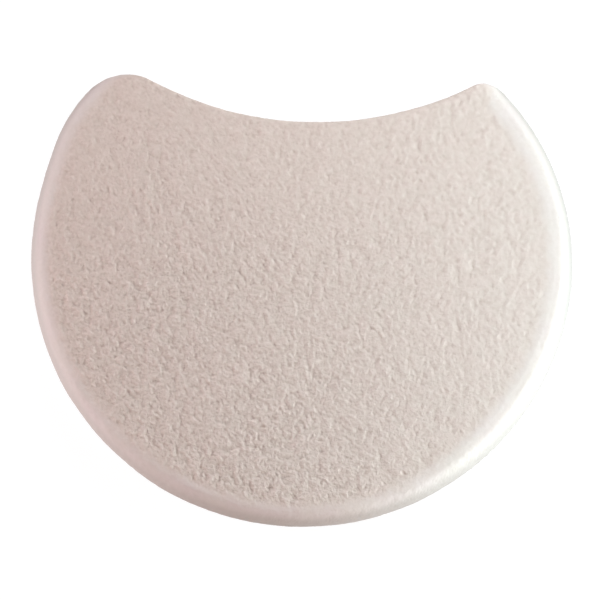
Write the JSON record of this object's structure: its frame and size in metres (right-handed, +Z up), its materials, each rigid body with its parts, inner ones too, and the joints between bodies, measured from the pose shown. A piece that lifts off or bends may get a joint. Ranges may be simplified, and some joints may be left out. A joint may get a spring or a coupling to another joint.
{
  "type": "makeup sponge",
  "caption": "Flat round foam make-up sponge with a wide concave bite and two blunt horns, textured facings on both sides and a soft core that presses flat and springs back.",
  "frame": {"origin": "bottom centre of the pad's box, on the surface it lies on", "axes": "+Z up through the thickness, +Y towards the concave bite, +X across the width"},
  "size_m": [0.062, 0.0516, 0.006],
  "materials": {
    "facing": "matt, sueded open-cell texture, warm beige",
    "foam": "matt, fine closed skin of ground foam, pale pinkish white",
    "adhesive": "thin cured adhesive coat, matt"
  },
  "bodies": {
    "base": {"bottom_face": "facing", "bottom_bond": "adhesive", "lower_foam": "foam", "core_bond": "adhesive"},
    "top": {"upper_foam": "foam", "top_bond": "adhesive", "top_face": "facing"}
  },
  "joints": [
    {"name": "foam_press", "type": "slide", "parent": "base", "child": "top", "axis": [0, 0, -1], "range_m": [0, 0.0023], "stiffness_N_per_m": 2000, "deforming": ["lower_foam", "upper_foam"]}
  ]
}
